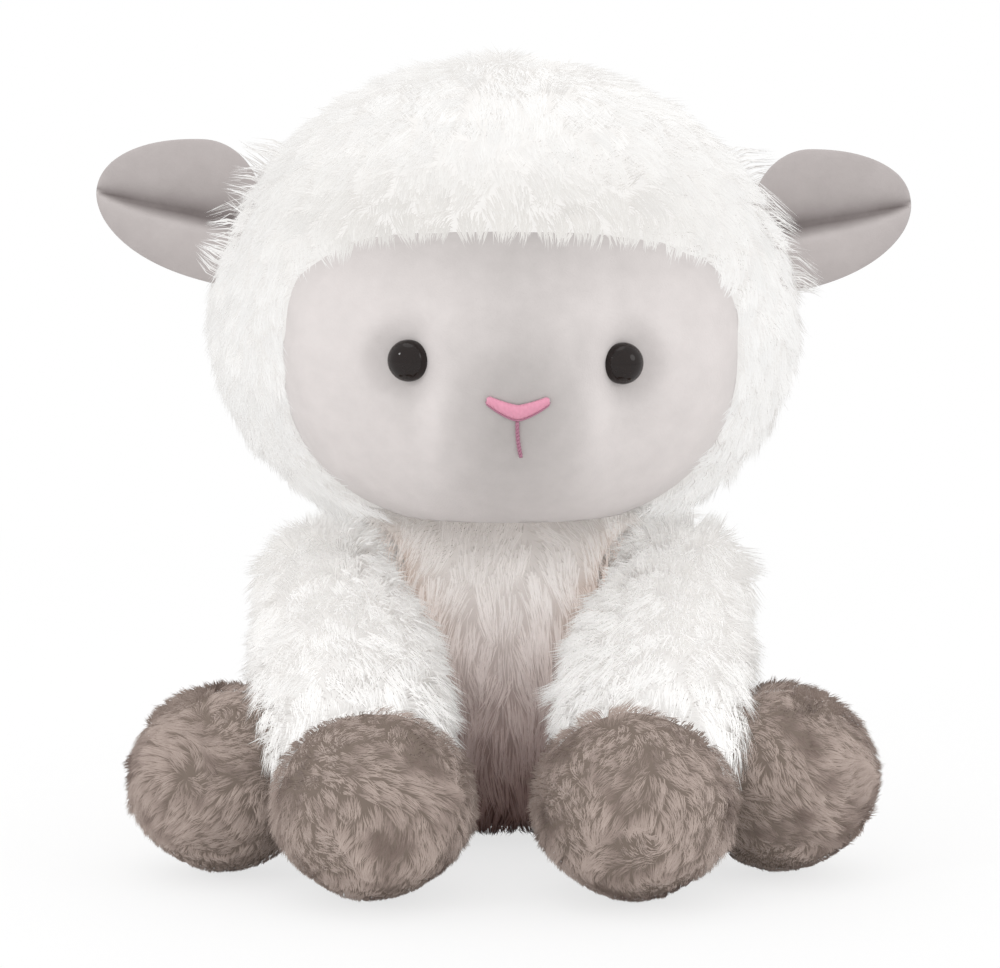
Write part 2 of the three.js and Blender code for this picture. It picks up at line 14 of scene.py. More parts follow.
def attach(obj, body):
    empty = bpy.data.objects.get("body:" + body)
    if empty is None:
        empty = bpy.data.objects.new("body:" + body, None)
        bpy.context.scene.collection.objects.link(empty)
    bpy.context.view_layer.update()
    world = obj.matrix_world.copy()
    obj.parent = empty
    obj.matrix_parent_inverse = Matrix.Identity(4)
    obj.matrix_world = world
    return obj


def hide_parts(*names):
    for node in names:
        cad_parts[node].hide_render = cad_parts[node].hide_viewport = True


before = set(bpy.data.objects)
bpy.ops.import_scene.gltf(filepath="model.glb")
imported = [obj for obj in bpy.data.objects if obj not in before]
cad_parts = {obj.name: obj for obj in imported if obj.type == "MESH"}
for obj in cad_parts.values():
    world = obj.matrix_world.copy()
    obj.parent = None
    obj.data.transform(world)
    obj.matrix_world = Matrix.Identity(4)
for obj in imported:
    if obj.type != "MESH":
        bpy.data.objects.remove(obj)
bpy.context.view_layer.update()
noise.seed_set(1)  # without a seed, noise_vector follows the clock and the pile lies otherwise each run


# Body: a blunt pear sewn up from panels of white long-pile plush, filled with fibre over a bag of pellets.
# The skin is the knitted backing with the thick of the pile on it, and the strands are its loose ends.
PILE_STAND = 0.0026  # how far the loose ends stand over the skin
PILE_FLUFF = 0.0012  # how far the skin swells and sinks in soft tufts
PILE_LENGTH = 0.0085
LOOSE_LENGTH = 0.0122  # on the body and legs, where it is less brushed down
PILE_WIDTH = 0.00055
# The roots are painted darker than the tips, as painted shade in the depth of the pile, since the loose ends
# throw no shadow on each other.
PILE_ROOT = (0.785, 0.768, 0.75)
PILE_TIP = (0.882, 0.879, 0.873)
LOOSE_ROOT = (0.88, 0.86, 0.838)
LOOSE_TIP = (0.972, 0.967, 0.958)
# The skin is painted darker than the pile's tips, as painted shade under the pile.
SKIN_COLOUR = (0.81, 0.793, 0.775)
SKIN_FLOOR = 0.0006  # the lowest that a skin comes
STRAND_FLOOR = 0.0003  # and a strand


def new_piece(name, form, material):
    """A smooth object of one material, made of a bmesh form, which is freed."""
    for face in form.faces:
        face.smooth = True
    mesh = bpy.data.meshes.new(name)
    form.to_mesh(mesh)
    form.free()
    mesh.materials.append(material)
    piece = bpy.data.objects.new(name, mesh)
    bpy.context.scene.collection.objects.link(piece)
    return piece


def uneven_tone():
    """Node group that makes a colour a little lighter and darker from place to place."""
    group = bpy.data.node_groups.new("uneven_tone", "ShaderNodeTree")
    group.interface.new_socket("Color", in_out="INPUT", socket_type="NodeSocketColor")
    group.interface.new_socket("Scale", in_out="INPUT", socket_type="NodeSocketFloat")
    group.interface.new_socket("Amount", in_out="INPUT", socket_type="NodeSocketFloat")
    group.interface.new_socket("Color", in_out="OUTPUT", socket_type="NodeSocketColor")
    nodes, links = group.nodes, group.links
    given, made = nodes.new("NodeGroupInput"), nodes.new("NodeGroupOutput")
    place = nodes.new("ShaderNodeTexCoord")
    clouds = nodes.new("ShaderNodeTexNoise")
    clouds.inputs["Detail"].default_value = 4
    centred = nodes.new("ShaderNodeMath")
    centred.operation = "SUBTRACT"
    centred.inputs[1].default_value = 0.5
    factor = nodes.new("ShaderNodeMath")
    factor.operation = "MULTIPLY_ADD"
    factor.inputs[2].default_value = 1.0
    scaled = nodes.new("ShaderNodeVectorMath")
    scaled.operation = "SCALE"
    links.new(place.outputs["Object"], clouds.inputs["Vector"])
    links.new(given.outputs["Scale"], clouds.inputs["Scale"])
    links.new(clouds.outputs["Fac"], centred.inputs[0])
    links.new(centred.outputs[0], factor.inputs[0])
    links.new(given.outputs["Amount"], factor.inputs[1])
    links.new(given.outputs["Color"], scaled.inputs[0])
    links.new(factor.outputs[0], scaled.inputs["Scale"])
    links.new(scaled.outputs[0], made.inputs["Color"])
    return group


UNEVEN = uneven_tone()


def soft_material(name, colour, roughness=1.0, sheen=0.0, attribute=None, scale=200, amount=0.2):
    """A material whose colour varies by a noise, or is read from a mesh's attribute."""
    material = bpy.data.materials.new(name)
    material.use_nodes = True
    nodes, links = material.node_tree.nodes, material.node_tree.links
    shader = nodes["Principled BSDF"]
    shader.inputs["Base Color"].default_value = (*colour, 1)
    shader.inputs["Roughness"].default_value = roughness
    shader.inputs["Specular IOR Level"].default_value = 0.0
    shader.inputs["Sheen Weight"].default_value = sheen
    shader.inputs["Sheen Roughness"].default_value = 0.5
    if attribute:
        tint = nodes.new("ShaderNodeAttribute")
        tint.attribute_name = attribute
    else:
        tint = nodes.new("ShaderNodeGroup")
        tint.node_tree = UNEVEN
        tint.inputs["Color"].default_value = (*colour, 1)
        tint.inputs["Scale"].default_value = scale
        tint.inputs["Amount"].default_value = amount
    links.new(tint.outputs["Color"], shader.inputs["Base Color"])
    return material


def node_mesh(node):
    """A bmesh form of one of the frame's solids, with its doubled points joined."""
    form = bmesh.new()
    form.from_mesh(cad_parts[node].data)
    bmesh.ops.remove_doubles(form, verts=form.verts, dist=1e-6)
    form.normal_update()
    return form


def push(form, distance, fluff=0.0):
    """Moves a form's points outwards along their normals, with more and less of it in soft tufts by fluff."""
    form.normal_update()
    moves = [vert.normal * (distance + fluff * noise.noise(vert.co * 95)) for vert in form.verts]
    for vert, move in zip(form.verts, moves):
        vert.co += move


def stuffed_skin(name, cover, fillings, grain, rounds, inset, material, cut=None):
    """An even skin that bulges softly over a cover and its fillings, drawn in by inset. The fillings are
    swollen to meet the cover, and end at the cut, which is a point and the way beyond it."""
    form = node_mesh(cover)
    for node in fillings:
        part = node_mesh(node)
        if cut:
            everything = part.verts[:] + part.edges[:] + part.faces[:]
            bmesh.ops.bisect_plane(part, geom=everything, plane_co=cut[0], plane_no=cut[1], clear_outer=True)
            bmesh.ops.holes_fill(part, edges=[edge for edge in part.edges if edge.is_boundary])
        push(part, 0.001)
        mesh = bpy.data.meshes.new(node)
        part.to_mesh(mesh)
        part.free()
        form.from_mesh(mesh)
        bpy.data.meshes.remove(mesh)
    piece = new_piece(name, form, material)
    even = piece.modifiers.new("even", "REMESH")
    even.mode = "VOXEL"
    even.voxel_size = grain
    rough = bpy.data.meshes.new_from_object(piece.evaluated_get(bpy.context.evaluated_depsgraph_get()))
    skin = bmesh.new()
    skin.from_mesh(rough)
    bpy.data.objects.remove(piece)
    bpy.data.meshes.remove(rough)
    for _ in range(rounds):
        bmesh.ops.smooth_vert(
            skin, verts=skin.verts, factor=0.5, use_axis_x=True, use_axis_y=True, use_axis_z=True
        )
    push(skin, -inset, PILE_FLUFF)
    for vert in skin.verts:
        vert.co.z = max(vert.co.z, SKIN_FLOOR)
    return new_piece(name, skin, material)


# A strand of pile is a flat-sided spindle: a root point, three points round its bend and a tip. Its level is
# 0 at the root and 1 at the tip, which also mixes its colours.
STRAND_LEVELS = np.array([0.0, 0.4, 0.4, 0.4, 1.0])
STRAND_SIDES = np.array([[0, 0], [1, 0], [-0.5, 0.87], [-0.5, -0.87], [0, 0]])
STRAND_FACES = np.array([[0, 2, 1], [0, 3, 2], [0, 1, 3], [4, 1, 2], [4, 2, 3], [4, 3, 1]])
SIGHT = Vector((0.31, 0.17, 0.93)).normalized()  # the line along which is_inside looks, skew to every form
TRIED_ROOTS = 4  # places tried for each strand, since some aren't allowed
SPARE_ROOTS = 1.3  # and kept until the neighbours have been tried
ROOT_CLEARANCE = 0.0008  # over the skin, where a root must be clear of the neighbours
BLOCKED_REACH = 0.35  # of a strand whose tip would be inside a neighbour
FLOOR_REACH = 0.35  # of a strand beside the floor, rising to 1 at the next height
FULL_REACH_Z = 0.022


def unit(vectors):
    """The vectors in a table's rows, each with a length of 1."""
    return vectors / np.maximum(np.linalg.norm(vectors, axis=1, keepdims=True), 1e-9)


def drift(points, scale, offset):
    """A smooth wandering direction at each point, for pile that has been ruffled."""
    return np.array([noise.noise_vector(Vector(point * scale) + Vector(offset))[:] for point in points])


def is_inside(tree, place):
    """Whether a straight line from a place goes out through a closed solid an odd number of times."""
    count = 0
    hit = tree.ray_cast(place, SIGHT)[0]
    while hit is not None and count < 12:
        count += 1
        hit = tree.ray_cast(hit + SIGHT * 1e-5, SIGHT)[0]
    return count % 2 == 1


def outside(points, nodes):
    """Which points lie outside every one of the frame's solids named in nodes."""
    free = np.ones(len(points), bool)
    for node in nodes:
        form = node_mesh(node)
        corners = np.array([vert.co[:] for vert in form.verts])
        tree = BVHTree.FromBMesh(form)
        form.free()
        near = np.all((points > corners.min(0)) & (points < corners.max(0)), axis=1)
        for i in np.flatnonzero(free & near):
            free[i] = not is_inside(tree, Vector(points[i]))
    return free


def scattered(mesh, count, random):
    """Random places on a mesh's faces and the normals there."""
    mesh.calc_loop_triangles()
    corners = np.empty(len(mesh.loop_triangles) * 3, int)
    mesh.loop_triangles.foreach_get("vertices", corners)
    places = np.empty(len(mesh.vertices) * 3)
    mesh.vertices.foreach_get("co", places)
    outward = np.empty(len(mesh.vertices) * 3)
    mesh.vertices.foreach_get("normal", outward)
    corners, places, outward = (table.reshape(-1, 3) for table in (corners, places, outward))
    a, b, c = (places[corners[:, i]] for i in range(3))
    area = np.linalg.norm(np.cross(b - a, c - a), axis=1)
    picked = random.choice(len(area), size=count, p=area / area.sum())
    u = random.random((count, 2))
    u = np.where(u.sum(1, keepdims=True) > 1, 1 - u, u)
    shares = np.column_stack([1 - u.sum(1), u])
    root = sum(places[corners[picked, i]] * shares[:, i : i + 1] for i in range(3))
    normal = unit(sum(outward[corners[picked, i]] * shares[:, i : i + 1] for i in range(3)))
    return root, normal


def paint(mesh, colour):
    """Stores a colour at each of a mesh's points, which its material reads."""
    rgba = np.concatenate([colour, np.ones((len(colour), 1))], 1)
    layer = mesh.attributes.new("pile_colour", "FLOAT_COLOR", "POINT")
    layer.data.foreach_set("color", rgba.astype(np.float32).ravel())


def pile(name, skin, material, strands, comb, seed, allowed, neighbours, length=PILE_LENGTH, width=PILE_WIDTH,
         lean=60, tuft=55, gather=0.45, ruffle=0.5, colours=(PILE_ROOT, PILE_TIP), shade=None):
    """Strands rooted all over a skin. comb gives the way they lie, allowed where they grow, neighbours the
    solids that they keep out of, and shade a factor on their colours. lean is their angle from upright in
    degrees, and tuft the strands in a tuft, which are drawn together by the share gather. Light comes
    through the loose ends, which throw no shadow on each other."""
    random = np.random.default_rng(seed)
    root, normal = scattered(skin.data, strands * TRIED_ROOTS, random)
    kept = allowed(root)
    spare = int(strands * SPARE_ROOTS)
    root, normal = root[kept][:spare], normal[kept][:spare]
    kept = outside(root + normal * ROOT_CLEARANCE, neighbours)
    root, normal = root[kept][:strands], normal[kept][:strands]
    count = len(root)

    lie = unit(comb(root)) + ruffle * drift(root, 90, (seed, 2.3, 5.1))
    lie = unit(lie - normal * (lie * normal).sum(1, keepdims=True))
    angle = np.radians(lean) * (1 + 0.2 * random.standard_normal(count))[:, None]
    near_floor = np.clip(root[:, 2:] / FULL_REACH_Z, FLOOR_REACH, 1)
    reach = length * (1 + 0.14 * random.standard_normal(count))[:, None] * near_floor
    way = normal * np.cos(angle) + lie * np.sin(angle) + 0.1 * random.standard_normal((count, 3))
    tip = root + unit(way) * reach
    centres = random.choice(count, size=max(2, count // tuft), replace=False)
    tree = KDTree(len(centres))
    for i, centre in enumerate(centres):
        tree.insert(root[centre], i)
    tree.balance()
    nearest = centres[np.array([tree.find(place)[1] for place in root])]
    tip += gather * (tip[nearest] - tip + 0.1 * (root - root[nearest]))
    tip = np.where(outside(tip, neighbours)[:, None], tip, root + (tip - root) * BLOCKED_REACH)
    bend = root + normal * reach * 0.22 + (tip - root) * 0.3

    forward = unit(tip - root)
    across = unit(np.cross(forward, normal) + 0.2 * random.standard_normal((count, 3)))
    depth = unit(np.cross(forward, across))
    thick = width / 2 * (1 + 0.2 * random.standard_normal(count))[:, None, None]
    points = np.stack([root, bend, bend, bend, tip], 1)
    points += thick * STRAND_SIDES[None, :, :1] * across[:, None]
    points += thick * STRAND_SIDES[None, :, 1:] * depth[:, None] / 4
    points[:, :, 2] = np.maximum(points[:, :, 2], STRAND_FLOOR)

    faces = (STRAND_FACES[None] + (np.arange(count) * len(STRAND_LEVELS))[:, None, None]).reshape(-1, 3)
    mesh = bpy.data.meshes.new(name)
    mesh.from_pydata(points.reshape(-1, 3), [], faces)
    tufts = 1 + 0.022 * random.standard_normal(count)
    tone = (1 + 0.015 * random.standard_normal((count, 1, 1))) * tufts[nearest][:, None, None]
    if shade is not None:
        tone = tone * shade(root)[:, None]
    low, high = (np.array(colour) for colour in colours)
    paint(mesh, np.clip((low + (high - low) * STRAND_LEVELS[None, :, None]) * tone, 0, 1).reshape(-1, 3))
    patch = math.ceil(math.sqrt(count))
    cell = np.stack([np.arange(count) % patch, np.arange(count) // patch], 1)[:, None, :]
    within = np.stack([0.5 + 0.35 * STRAND_SIDES[:, 0], 0.1 + 0.8 * STRAND_LEVELS], 1)[None]
    spots = ((cell + within) / patch).reshape(-1, 2)
    mesh.uv_layers.new(name="OFBake").data.foreach_set("uv", spots[faces.ravel()].astype(np.float32).ravel())
    mesh.materials.append(material)
    piece = bpy.data.objects.new(name, mesh)
    bpy.context.scene.collection.objects.link(piece)
    piece.visible_shadow = False
    piece.visible_diffuse = False
    return piece


def hanging(root):
    """The way that pile lies where only its weight combs it."""
    return np.broadcast_to(np.array([0, 0, -1.0]), root.shape)


def nearness(points, nodes, reach):
    """1 on the surface of the nearest of the frame's solids named in nodes, falling to 0 away from it."""
    share = np.zeros((len(points), 1))
    for node in nodes:
        form = node_mesh(node)
        tree = BVHTree.FromBMesh(form)
        form.free()
        for i, point in enumerate(points):
            found = tree.find_nearest(Vector(point), reach * 2.5)[3]
            if found is not None:
                share[i] = max(share[i], math.exp(-((found / reach) ** 2)))
    return share


def chest_shade(root):
    """Painted colour and shade on the chest and belly: the front is creamier and a little darker, partly the
    plush's own tone and partly painted shade, painted shade browns the creases beside the forelegs, and
    painted shade darkens and browns the belly between the forelegs, most near the floor."""
    front = np.clip((-0.02 - root[:, 1:2]) / 0.02, 0, 1)
    # painted shade on the belly between the forelegs, deepest and brownest near the floor
    middle = np.exp(-((root[:, :1] / 0.05) ** 4)) * front
    low = np.clip(root[:, 2:] / 0.09, 0.05, 1) ** np.array([1.05, 1.3, 1.35])
    # painted shade in the creases beside the forelegs
    crease = nearness(root, ["foreleg_cover_left", "foreleg_cover_right"], 0.008) * front
    # the front's creamier tone, partly the plush's own and partly painted shade
    cream_and_painted_shade = 1 - front * np.array([0.05, 0.09, 0.105])
    return cream_and_painted_shade * (1 - middle * (1 - low)) * (1 - crease * np.array([0.24, 0.38, 0.46]))


coat_skin = soft_material("coat_skin", SKIN_COLOUR)
coat_pile = soft_material("coat_pile", PILE_TIP, 0.9, 0.25, "pile_colour")
body_skin = soft_material("body_skin", SKIN_COLOUR, attribute="pile_colour")
body = stuffed_skin(
    "body_coat", "body_cover", ["body_stuffing", "bean_bag"], 0.0024, 12, PILE_STAND, body_skin
)
body_places = np.array([vert.co[:] for vert in body.data.vertices])
# the skin under the pile gets the same painted colour and shade as the chest's and belly's pile
paint(body.data, np.array(SKIN_COLOUR) * chest_shade(body_places))
LEG_NODES = [f"{limb}_{part}_{side}" for limb in ("foreleg", "hindleg") for part in ("cover", "stuffing")
             for side in ("left", "right")]
body_pile = pile(
    "body_pile", body, coat_pile, 32000, hanging, 11,
    allowed=lambda root: (root[:, 2] > 0.004) & (root[:, 2] < 0.111),
    neighbours=[*LEG_NODES, "hood_cover", "head_stuffing", "face_panel"], shade=chest_shade,
    length=LOOSE_LENGTH, lean=50, colours=(LOOSE_ROOT, LOOSE_TIP),
)
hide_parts("body_cover", "body_stuffing", "bean_bag")
for piece in (body, body_pile):
    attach(piece, "torso")

# Legs: stuffed limbs of the same coat, sewn in at the shoulders and hips, each with a fluffy cuff that hangs
# over the foot's seam. The forelegs' joints turn up and down and the hind legs' joints turn outwards.
SIDES = {"left": 1, "right": -1}
LEGS = {
    "foreleg": {
        "joint": Vector((0.051, -0.030, 0.0795)), "foot": Vector((0.039, -0.1135, 0.0295)),
        "inset": 0.013, "strands": 24000, "other": "hindleg",
    },
    "hindleg": {
        "joint": Vector((0.056, -0.029, 0.026)), "foot": Vector((0.086, -0.0765, 0.0288)),
        "inset": 0.012, "strands": 10000, "other": "foreleg",
    },
}
FOOT_OF = {"foreleg": "forefoot", "hindleg": "hindfoot"}


def on_side(point, side):
    """A point given for the left side, on either side."""
    return Vector((point.x * SIDES[side], point.y, point.z))


def cuff_plane(limb, side, beyond=0.0):
    """A point of the cuff's seam and the way from it towards the foot."""
    foot, joint = on_side(LEGS[limb]["foot"], side), on_side(LEGS[limb]["joint"], side)
    back = (joint - foot).normalized()
    return foot + back * (LEGS[limb]["inset"] + beyond), -back


def down_leg(limb, side):
    """Combs a leg's pile towards the foot, hanging a little."""
    forward = np.array(cuff_plane(limb, side)[1])
    return lambda root: np.broadcast_to(forward + np.array([0, 0, -0.35]), root.shape)


SHOULDER = Vector((0.060, -0.028, 0.086))
SHOULDER_REACH = 0.024
SHOULDER_FLUFF = 0.0065  # how far the loose plush bulges outwards there

for limb, sizes in LEGS.items():
    for number, side in enumerate(SIDES):
        cover, stuffing = f"{limb}_cover_{side}", f"{limb}_stuffing_{side}"
        cut = cuff_plane(limb, side, 0.001)
        leg = stuffed_skin(f"{limb}_coat_{side}", cover, [stuffing], 0.002, 8, PILE_STAND, coat_skin, cut)
        shoulder = on_side(SHOULDER, side)
        for vert in leg.data.vertices if limb == "foreleg" else ():
            share = math.exp(-(((vert.co - shoulder).length / SHOULDER_REACH) ** 2))
            vert.co.x += SIDES[side] * SHOULDER_FLUFF * share
        other = sizes["other"]
        feet = [f"{FOOT_OF[limb]}_cover_{side}", f"{FOOT_OF[other]}_cover_{side}"]
        beside = [f"{other}_cover_{side}", f"{other}_stuffing_{side}", *feet]
        leg_pile = pile(
            f"{limb}_pile_{side}", leg, coat_pile, sizes["strands"], down_leg(limb, side), 31 + number,
            allowed=lambda root: root[:, 2] > 0.003,
            neighbours=["body_cover", "body_stuffing", "hood_cover", "face_panel", "head_stuffing", *beside],
            length=LOOSE_LENGTH, lean=46, colours=(LOOSE_ROOT, LOOSE_TIP),
        )
        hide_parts(cover, stuffing)
        for piece in (leg, leg_pile):
            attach(piece, f"{limb}_{side}")

# Feet: balls stuffed firm, of short taupe pile that is brushed into swirls, painted darker and lighter in
# patches where it would lie away from and towards the light. Each is sewn to its leg inside the cuff and is
# flat where it stands on the floor.
FOOT_STAND = 0.0020  # of the pile over the skin
FOOT_LENGTH = 0.0054
FOOT_WIDTH = 0.00036
# Root and tip: the roots are painted darker, as painted shade in the depth of the pile.
FOOT_COLOURS = ((0.275, 0.218, 0.19), (0.465, 0.38, 0.34))
FOOT_RADIUS = {"foreleg": 0.030, "hindleg": 0.0293}
FOOT_WAVE = 0.0006  # how unevenly the ball is stuffed
FOOT_SEAM = 0.0002  # from the cuff's seam to the ball's flat end
FOOT_BARE = 0.003  # and to its first roots
# The skin under the pile is painted darker, as painted shade.
foot_skin = soft_material("foot_skin", (0.20, 0.16, 0.135))
foot_pile_material = soft_material("foot_pile", FOOT_COLOURS[1], 0.85, 0.1, "pile_colour")


def foot_ball(name, limb, side):
    """A ball, flat on the floor and at the cuff's seam."""
    centre = on_side(LEGS[limb]["foot"], side)
    point, forward = cuff_plane(limb, side)
    ball = bmesh.new()
    bmesh.ops.create_icosphere(ball, subdivisions=4, radius=FOOT_RADIUS[limb] - FOOT_STAND)
    for vert in ball.verts:
        vert.co += centre + vert.co.normalized() * FOOT_WAVE * noise.noise(vert.co * 60 + centre * 30)
        beyond = (vert.co - point).dot(forward)
        if beyond < FOOT_SEAM:
            vert.co -= forward * (beyond - FOOT_SEAM)
        vert.co.z = max(vert.co.z, SKIN_FLOOR)
    return new_piece(name, ball, foot_skin)


def swirls(root):
    """Pile that leans away from the light looks darker, in patches."""
    places = [Vector(place) for place in root]
    value = np.array([noise.noise(place * 75) + 0.6 * noise.noise(place * 190) for place in places])
    dark = np.clip(value * 1.5, 0, 1)[:, None]
    return 1.04 - dark * np.array([0.54, 0.57, 0.58])


def ruffled(root):
    """The way that a foot's pile lies, which wanders and hangs a little."""
    return drift(root, 55, (7.7, 1.2, 3.4)) + np.array([0, 0, -0.15])


for limb, sizes in LEGS.items():
    for number, side in enumerate(SIDES):
        foot, other = FOOT_OF[limb], sizes["other"]
        ball = foot_ball(f"{foot}_plush_{side}", limb, side)
        seam, forward = (np.array(vector) for vector in cuff_plane(limb, side))
        beside = [f"{limb}_cover_{side}", f"{other}_cover_{side}", f"{other}_stuffing_{side}"]
        ball_pile = pile(
            f"{foot}_pile_{side}", ball, foot_pile_material, 15500,
            lambda root: ruffled(root) + 0.45 * forward, 51 + number,
            allowed=lambda root: (root[:, 2] > 0.0012) & ((root - seam) @ forward > FOOT_BARE),
            neighbours=[*beside, f"{FOOT_OF[other]}_cover_{side}"],
            length=FOOT_LENGTH, width=FOOT_WIDTH, lean=48, tuft=24, gather=0.5, ruffle=0.3,
            colours=FOOT_COLOURS, shade=swirls,
        )
        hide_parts(f"{foot}_cover_{side}")
        for piece in (ball, ball_pile):
            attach(piece, f"{limb}_{side}")

# Head: the hood is the same coat sewn round the face, over a big head filled firmly with fibre, which turns
# on the neck's seam. Its skin runs on under the face.
HEAD_HALF_WIDTH = 0.093
HEAD_HALF_DEPTH = 0.074
HEAD_RISE = 0.085
HEAD_DROP = 0.072
HEAD_CENTRE = Vector((0, -0.020, 0.165))
HEAD_TURN = math.radians(3)
HEAD_TILT = math.radians(1)
NECK_Y = -0.014
NECK_Z = 0.1073
NECK_RISE = 0.0093
NECK_RADIUS = 0.050
SNOUT_SWELL = 0.0105
SNOUT_Z = 0.145
SNOUT_HALF_WIDTH = 0.030
SNOUT_HALF_HEIGHT = 0.040
DIMPLE_DEPTH = 0.0047
DIMPLE_RADIUS = 0.012
EYE_SPACING = 0.0648
EYE_Z = 0.1595
FACE_HALF_WIDTH = 0.0705
FACE_Z = 0.161
FACE_RISE = 0.038
FACE_DROP = 0.057
BROW_POWER = 3.08  # of the face's outline above, where 2 is an ellipse and more is squarer
CHEEK_POWER = 2.41  # and below
CROWN_Z = 0.205  # the crown's pile grows above this, and the front's and back's below it
BACK_Y = -0.015  # and the back's behind this
head_pivot = Vector((0, NECK_Y, HEAD_CENTRE.z))
head_turn = Matrix.Rotation(HEAD_TURN, 4, "Z") @ Matrix.Rotation(HEAD_TILT, 4, "Y")
head_pose = Matrix.Translation(head_pivot) @ head_turn @ Matrix.Translation(-head_pivot)


def head_relief(x, z):
    """How far the snout swells and the eyes' dimples sink, seen from in front."""
    snout = SNOUT_SWELL * math.exp(-((x / SNOUT_HALF_WIDTH) ** 4) - ((z - SNOUT_Z) / SNOUT_HALF_HEIGHT) ** 2)
    from_eye = math.hypot(abs(x) - EYE_SPACING / 2, z - EYE_Z)
    return snout - DIMPLE_DEPTH * math.exp(-((from_eye / DIMPLE_RADIUS) ** 4))


def head_point(way, inset):
    """Where a direction from the head's middle meets its surface."""
    x = way.x * (HEAD_HALF_WIDTH - inset)
    z = HEAD_CENTRE.z + way.z * ((HEAD_RISE if way.z > 0 else HEAD_DROP) - inset)
    front = head_relief(x, z) * min(1, -2 * way.y) if way.y < 0 else 0
    return Vector((x, HEAD_CENTRE.y + way.y * (HEAD_HALF_DEPTH - inset) - front, z))


def head_front(x, z, inset):
    """The point on the head's front over a place seen from in front, set back by inset."""
    across = x / HEAD_HALF_WIDTH
    above = (z - HEAD_CENTRE.z) / (HEAD_RISE if z > HEAD_CENTRE.z else HEAD_DROP)
    forward = -math.sqrt(max(1 - across * across - above * above, 0.0))
    return head_point(Vector((across, forward, above)), 0) + Vector((0, inset, 0))


def neck_height(point):
    """Height of the neck's seat under a point: a low dome on a level ring."""
    ring = (NECK_RADIUS**2 + NECK_RISE**2) / (2 * NECK_RISE)
    out = math.hypot(point.x, point.y - NECK_Y)
    return NECK_Z + (math.sqrt(ring * ring - out * out) - ring + NECK_RISE if out < NECK_RADIUS else 0)


def face_share(x, z):
    """0 in the middle of the face and 1 on its outline."""
    rise, power = (FACE_RISE, BROW_POWER) if z > FACE_Z else (FACE_DROP, CHEEK_POWER)
    return (abs(x / FACE_HALF_WIDTH) ** power + abs((z - FACE_Z) / rise) ** power) ** (1 / power)


def beside_face(root):
    """Where each place on the head lies as a share of the face's outline, and far off it behind the ears."""
    still = head_pose.inverted()
    turned = [still @ Vector(place) for place in root]
    return np.array([face_share(place.x, place.z) if place.y < HEAD_CENTRE.y else 9.0 for place in turned])


def spread_from_crown(root):
    """Combed down from the crown and out round the face, and in over the seam at the face's rim."""
    out = root - np.array(HEAD_CENTRE)
    rim = np.clip((1.2 - beside_face(root)) / 0.2, 0, 1)[:, None]
    return out * np.array([0.6, 0.3, 0.15]) + np.array([0, 0, -0.06]) - rim * out * np.array([1.3, 0, 1.3])


def clear_of_face(root):
    """Which places on the head lie outside the face and over the neck."""
    return (beside_face(root) > 0.985) & (root[:, 2] > NECK_Z + 0.004)


def hood_shade(root):
    """Painted shade: the hood is a little darker over the brow, where it turns down to the face."""
    over_face = -(((root[:, 2:] - 0.202) / 0.02) ** 2) - (root[:, :1] / 0.065) ** 4
    brow = np.exp(over_face) * (root[:, 1:2] < -0.03)
    return 1 - brow * np.array([0.18, 0.195, 0.215])


def hood_part(name, strands, seed, within):
    """The hood's pile on the part of it that lies within."""
    return pile(
        name, hood, coat_pile, strands, spread_from_crown, seed,
        allowed=lambda root: within(root) & clear_of_face(root), neighbours=[], shade=hood_shade,
    )


head = bmesh.new()
bmesh.ops.create_icosphere(head, subdivisions=6, radius=1)
for vert in head.verts:
    tufted = PILE_STAND - PILE_FLUFF * noise.noise(vert.co * 8.5)
    vert.co = head_pose @ head_point(vert.co.normalized(), tufted)
    vert.co.z = max(vert.co.z, neck_height(vert.co) + 0.0030)
hood = new_piece("hood_coat", head, coat_skin)
hood_piles = [
    hood_part("hood_pile_crown", 33000, 21, lambda root: root[:, 2] > CROWN_Z),
    hood_part("hood_pile_front", 28000, 22, lambda root: (root[:, 2] <= CROWN_Z) & (root[:, 1] < BACK_Y)),
    hood_part("hood_pile_back", 33000, 23, lambda root: (root[:, 2] <= CROWN_Z) & (root[:, 1] >= BACK_Y)),
]
TUFT_RADIUS = 0.0185  # the loose pile over each ear's root
TUFT_LENGTH = 0.015
TUFT_SHAPE = np.array([1, 1, 0.6])  # taller than it is wide
TUFT_SPREAD = np.array([0.4, 0.4, 0.7])
for side, sign in SIDES.items():
    socket = np.array(head_pose @ Vector((sign * 0.080, -0.024, 0.203)))
    outwards = np.array([sign * 0.022, -0.006, 0])
    hood_piles.append(pile(
        f"hood_ear_tuft_{side}", hood, coat_pile, 3000,
        lambda root: (root - socket) * TUFT_SPREAD + outwards, 24,
        allowed=lambda root: np.linalg.norm((root - socket) * TUFT_SHAPE, axis=1) < TUFT_RADIUS,
        neighbours=[], length=TUFT_LENGTH, lean=36, tuft=60, gather=0.6,
    ))
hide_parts("hood_cover", "head_stuffing", "eye_washer_left", "eye_washer_right")
for piece in (hood, *hood_piles):
    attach(piece, "head")

# Face: one panel of short grey velour, drawn in at its seam with the hood and lifted by the snout's filling.
# Painted shade darkens the snout's front, the brow, round the eyes and along the rim, and a painted highlight
# lightens the snout's sides.
FACE_THICKNESS = 0.0015
SEAM_TUCK = 0.004
# The face's own colour, which the snout's sides are also painted up to as a painted highlight, and a painted
# shade that is mixed into it.
FACE_LIGHT = (0.76, 0.712, 0.70)
FACE_PAINTED_SHADE = (0.28, 0.262, 0.252)


